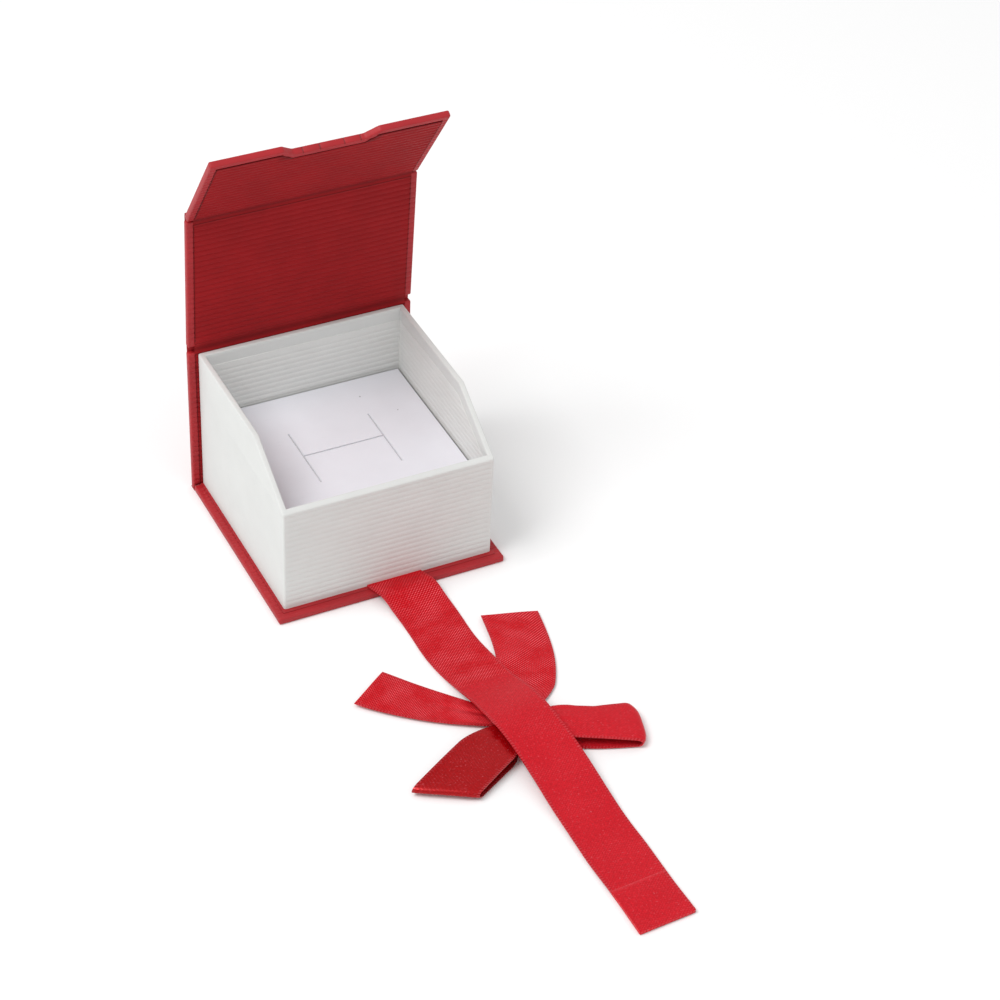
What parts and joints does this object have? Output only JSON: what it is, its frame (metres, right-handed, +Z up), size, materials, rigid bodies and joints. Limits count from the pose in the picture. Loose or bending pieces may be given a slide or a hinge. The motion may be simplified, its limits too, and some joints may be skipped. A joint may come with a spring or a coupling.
{
  "type": "jewelry gift box",
  "caption": "Small rigid gift box with a hinged lid, a folding slanted front flap, a slit card insert and a magnetic ribbon strap with a bow.",
  "frame": {"origin": "centre of the base panel's underside", "axes": "+Z up, +Y from the front flap towards the spine, +X to the right seen from the front"},
  "size_m": [0.0732, 0.2035, 0.1205],
  "materials": {
    "greyboard": "raw greyboard",
    "red_ribbed_paper": "fine ribbed, low sheen",
    "white_ribbed_paper": "fine ribbed, matte",
    "insert_card_stock": "smooth white card",
    "foam": "open-cell foam",
    "red_satin": "woven satin",
    "magnet": "nickel-plated"
  },
  "bodies": {
    "box": {"base_board": "greyboard", "base_wrap": "red_ribbed_paper", "base_liner": "red_ribbed_paper", "base_fold": "red_ribbed_paper", "spine_board": "greyboard", "spine_wrap": "red_ribbed_paper", "spine_liner": "red_ribbed_paper", "spine_magnet": "magnet", "lid_hinge_fold": "red_ribbed_paper", "tray_floor": "greyboard", "tray_wall_left": "greyboard", "tray_wall_right": "greyboard", "tray_wall_front": "greyboard", "tray_wall_back": "greyboard", "tray_wrap": "white_ribbed_paper", "tray_rim_turn_in": "white_ribbed_paper", "tray_liner": "white_ribbed_paper", "strap_anchor": "red_satin"},
    "lid": {"lid_board": "greyboard", "lid_wrap": "red_ribbed_paper", "lid_liner": "red_ribbed_paper", "flap_crease_fold": "red_ribbed_paper"},
    "flap": {"flap_board": "greyboard", "flap_wrap": "red_ribbed_paper", "flap_liner": "red_ribbed_paper"},
    "insert": {"insert_card": "insert_card_stock", "insert_pad": "foam"},
    "strap_front": {"strap_front": "red_satin"},
    "strap_slope": {"strap_slope": "red_satin", "bow_knot": "red_satin", "bow_loop_left": "red_satin", "bow_loop_right": "red_satin", "bow_tail_left": "red_satin", "bow_tail_right": "red_satin"},
    "strap_top": {"strap_top": "red_satin"},
    "strap_tail": {"strap_tail": "red_satin", "strap_hem": "red_satin", "strap_magnet": "magnet"}
  },
  "joints": [
    {"name": "lid_hinge", "type": "hinge", "parent": "box", "child": "lid", "pos_m": [0, 0.03275, 0.0492], "axis": [1, 0, 0], "range_deg": [-90, 86.5]},
    {"name": "flap_hinge", "type": "hinge", "parent": "lid", "child": "flap", "pos_m": [0, 0.03013, 0.09202], "axis": [1, 0, 0], "range_deg": [-31.6, 0]},
    {"name": "insert_lift", "type": "slide", "parent": "box", "child": "insert", "axis": [0, 0, -1], "range_m": [-0.05, 0]},
    {"name": "strap_exit_hinge", "type": "hinge", "parent": "box", "child": "strap_front", "pos_m": [0.0015, -0.03, 0.0024], "axis": [-0.9989, -0.0296, -0.0366], "range_deg": [0, 78.1]},
    {"name": "strap_edge_hinge", "type": "hinge", "parent": "strap_front", "child": "strap_slope", "pos_m": [0.00338, -0.06166, 0.00035], "axis": [-0.9982, -0.0593, 0], "range_deg": [0, 61.55]},
    {"name": "strap_crease_hinge", "type": "hinge", "parent": "strap_slope", "child": "strap_top", "pos_m": [0.00532, -0.09422, 0.0054], "axis": [-0.9982, -0.0593, 0], "range_deg": [0, 46.56]},
    {"name": "strap_spine_hinge", "type": "hinge", "parent": "strap_top", "child": "strap_tail", "pos_m": [0.00793, -0.1382, 0.00065], "axis": [-0.9982, -0.0593, 0], "range_deg": [0, 83.85]}
  ]
}
